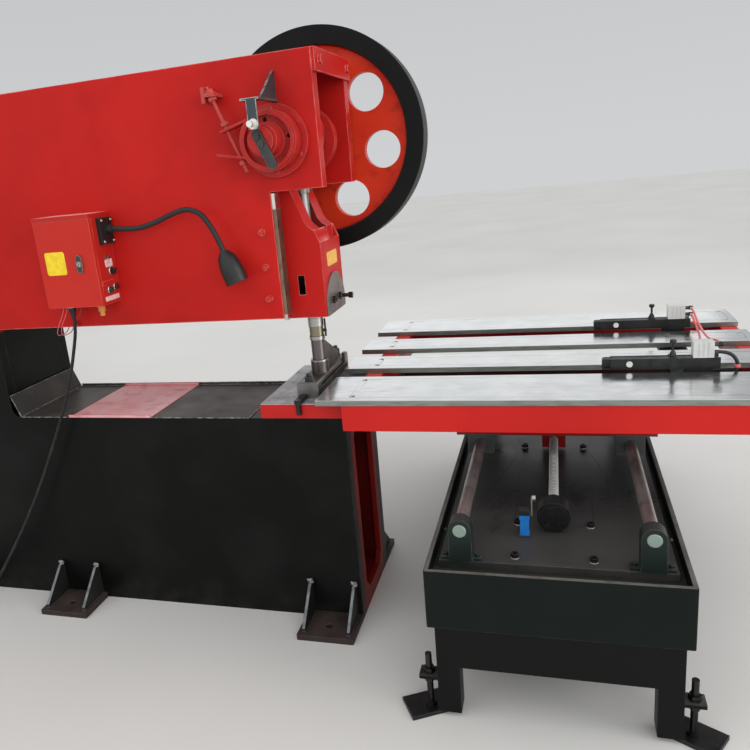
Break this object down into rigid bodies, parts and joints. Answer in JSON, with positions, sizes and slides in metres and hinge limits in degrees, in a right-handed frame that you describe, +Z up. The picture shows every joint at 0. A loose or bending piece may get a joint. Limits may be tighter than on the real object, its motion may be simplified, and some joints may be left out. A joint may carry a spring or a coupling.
{
  "type": "automatic stamping press",
  "caption": "C-frame crank press with deep throat, flywheel drive and brake, and a feed table with sheet clamps that slides the work past the punch",
  "frame": {"origin": "centre of the footprint on the floor, without the mains cable", "axes": "+X from the press's rear to its head and on along the feed table's bars, +Y along the table's guide shafts away from the control box side, +Z up"},
  "size_m": [3.36, 2.1507, 2.134],
  "materials": {
    "frame_paint": "worn satin red enamel over a dark green-black coat towards the floor",
    "guard_paint": "satin red enamel on fittings",
    "table_paint": "satin red enamel on the feed table's frame",
    "feed_paint": "dark green-black satin enamel",
    "wheel_paint": "black enamel rim with an orange-red web",
    "cabinet_paint": "satin red enamel on thin sheet",
    "motor_paint": "grey-blue enamel",
    "machined_steel": "machined and oiled steel",
    "polished_steel": "ground steel with mirror-like tops",
    "blackened_steel": "black oxide steel",
    "zinc_steel": "zinc-plated screws and brackets",
    "cast_grey": "machined cast iron, oily",
    "lining": "brake lining bonded in a steel band",
    "belt_rubber": "wrapped V-belt",
    "cable_rubber": "black rubber-sheathed cable",
    "black_plastic": "black plastic",
    "green_plastic": "green plastic",
    "red_plastic": "red plastic",
    "switch_body": "blue switch body with a black head",
    "lamp_paint": "black enamel, open at the end",
    "copper_pipe": "thin copper-brass oil pipe"
  },
  "bodies": {
    "press": {"near_side_plate": "frame_paint", "far_side_plate": "frame_paint", "frame_webs": "frame_paint", "anchor_feet": "frame_paint", "bolster_plate": "machined_steel", "side_tray": "guard_paint", "cover_sheet": "guard_paint", "crank_bearings": "guard_paint", "brake_band": "lining", "brake_rod": "zinc_steel", "crank_sensor": "zinc_steel", "oil_pipe": "copper_pipe", "ram_guides": "machined_steel", "press_bolts": "blackened_steel", "die_block": "machined_steel", "stripper_bridge": "machined_steel", "control_box": "cabinet_paint", "lamp_arm": "lamp_paint", "lamp_head": "lamp_paint", "cable_glands": "black_plastic", "power_cable": "cable_rubber", "cable_coil": "cable_rubber", "power_plug": "black_plastic", "motor_bracket": "guard_paint", "drive_motor": "motor_paint", "drive_belts": "belt_rubber", "feed_tray": "feed_paint", "feed_stand": "feed_paint", "levelling_feet": "zinc_steel", "feed_bed_plate": "feed_paint", "shaft_supports": "cast_grey", "guide_shafts": "polished_steel", "feed_drive": "blackened_steel", "limit_switch": "switch_body"},
    "flywheel": {"flywheel": "wheel_paint"},
    "crank": {"crankshaft": "cast_grey", "brake_drum": "cast_grey", "position_flag": "zinc_steel"},
    "rod": {"connecting_rod": "guard_paint", "adjusting_screw": "machined_steel"},
    "ram": {"ram": "guard_paint", "shank_clamp": "machined_steel", "punch_set": "machined_steel"},
    "motor_pulley": {"motor_pulley": "cast_grey"},
    "table": {"carriage": "guard_paint", "table_frame": "table_paint", "table_bars": "polished_steel", "clamp_drive": "blackened_steel"},
    "feed_screw": {"feed_screw": "polished_steel"},
    "clamps": {"clamp_slide": "blackened_steel", "clamp_cylinders": "zinc_steel"},
    "clamp_screw": {"clamp_screw": "polished_steel"},
    "near_jaw": {"near_jaw": "blackened_steel"},
    "far_jaw": {"far_jaw": "blackened_steel"},
    "door": {"box_door": "cabinet_paint"},
    "lock": {"door_lock": "black_plastic"},
    "selector": {"selector_knob": "black_plastic"},
    "start_button": {"start_button": "green_plastic"},
    "stop_button": {"stop_button": "red_plastic"},
    "switch_lever": {"switch_lever": "zinc_steel"}
  },
  "joints": [
    {"name": "flywheel_spin", "type": "hinge", "parent": "press", "child": "flywheel", "pos_m": [0.143, -0.0525, 1.736], "axis": [0, 1, 0], "continuous": true},
    {"name": "crank_turn", "type": "hinge", "parent": "press", "child": "crank", "pos_m": [0.143, -0.343, 1.736], "axis": [0, 1, 0], "continuous": true},
    {"name": "rod_swing", "type": "hinge", "parent": "crank", "child": "rod", "pos_m": [0.143, -0.343, 1.761], "axis": [0, 1, 0], "continuous": true},
    {"name": "ram_stroke", "type": "slide", "parent": "press", "child": "ram", "axis": [0, 0, 1], "range_m": [-0.05, 0]},
    {"name": "pulley_spin", "type": "hinge", "parent": "press", "child": "motor_pulley", "pos_m": [-0.45, -0.0525, 1.4], "axis": [0, 1, 0], "continuous": true},
    {"name": "table_travel", "type": "slide", "parent": "press", "child": "table", "axis": [0, 1, 0], "range_m": [-0.6, 0.6]},
    {"name": "feed_screw_turn", "type": "hinge", "parent": "press", "child": "feed_screw", "pos_m": [0.97, 0, 0.53], "axis": [0, 1, 0], "range_deg": [-21700, 21700]},
    {"name": "clamp_travel", "type": "slide", "parent": "table", "child": "clamps", "axis": [1, 0, 0], "range_m": [-0.9, 0.01]},
    {"name": "clamp_screw_turn", "type": "hinge", "parent": "table", "child": "clamp_screw", "pos_m": [0.9, 0, 0.766], "axis": [1, 0, 0], "range_deg": [-32500, 400]},
    {"name": "near_jaw_lift", "type": "hinge", "parent": "clamps", "child": "near_jaw", "pos_m": [1.217, -0.28, 0.907], "axis": [0, 1, 0], "range_deg": [0, 2.5]},
    {"name": "far_jaw_lift", "type": "hinge", "parent": "clamps", "child": "far_jaw", "pos_m": [1.217, 0.306, 0.907], "axis": [0, 1, 0], "range_deg": [0, 2.5]},
    {"name": "door_open", "type": "hinge", "parent": "press", "child": "door", "pos_m": [-0.745, -0.6565, 1.407], "axis": [0, 0, -1], "range_deg": [0, 110]},
    {"name": "lock_turn", "type": "hinge", "parent": "door", "child": "lock", "pos_m": [-0.577, -0.673, 1.404], "axis": [0, 1, 0], "range_deg": [0, 90]},
    {"name": "selector_turn", "type": "hinge", "parent": "press", "child": "selector", "pos_m": [-0.515, -0.589, 1.365], "axis": [1, 0, 0], "range_deg": [-45, 45]},
    {"name": "start_press", "type": "slide", "parent": "press", "child": "start_button", "axis": [-1, 0, 0], "range_m": [0, 0.004], "stiffness_N_per_m": 500},
    {"name": "stop_press", "type": "slide", "parent": "press", "child": "stop_button", "axis": [-1, 0, 0], "range_m": [0, 0.004], "stiffness_N_per_m": 500},
    {"name": "lever_tilt", "type": "hinge", "parent": "press", "child": "switch_lever", "pos_m": [0.906, -0.726, 0.554], "axis": [1, 0, 0], "range_deg": [-20, 20], "stiffness_Nm_per_rad": 0.4}
  ],
  "couplings": [
    {"joint": "rod_swing", "follows": "crank_turn", "ratio": -1},
    {"joint": "pulley_spin", "follows": "flywheel_spin", "ratio": 5.3067},
    {"joint": "feed_screw_turn", "follows": "table_travel", "rad_per_m": 628.32},
    {"joint": "clamp_screw_turn", "follows": "clamp_travel", "rad_per_m": 628.32}
  ]
}
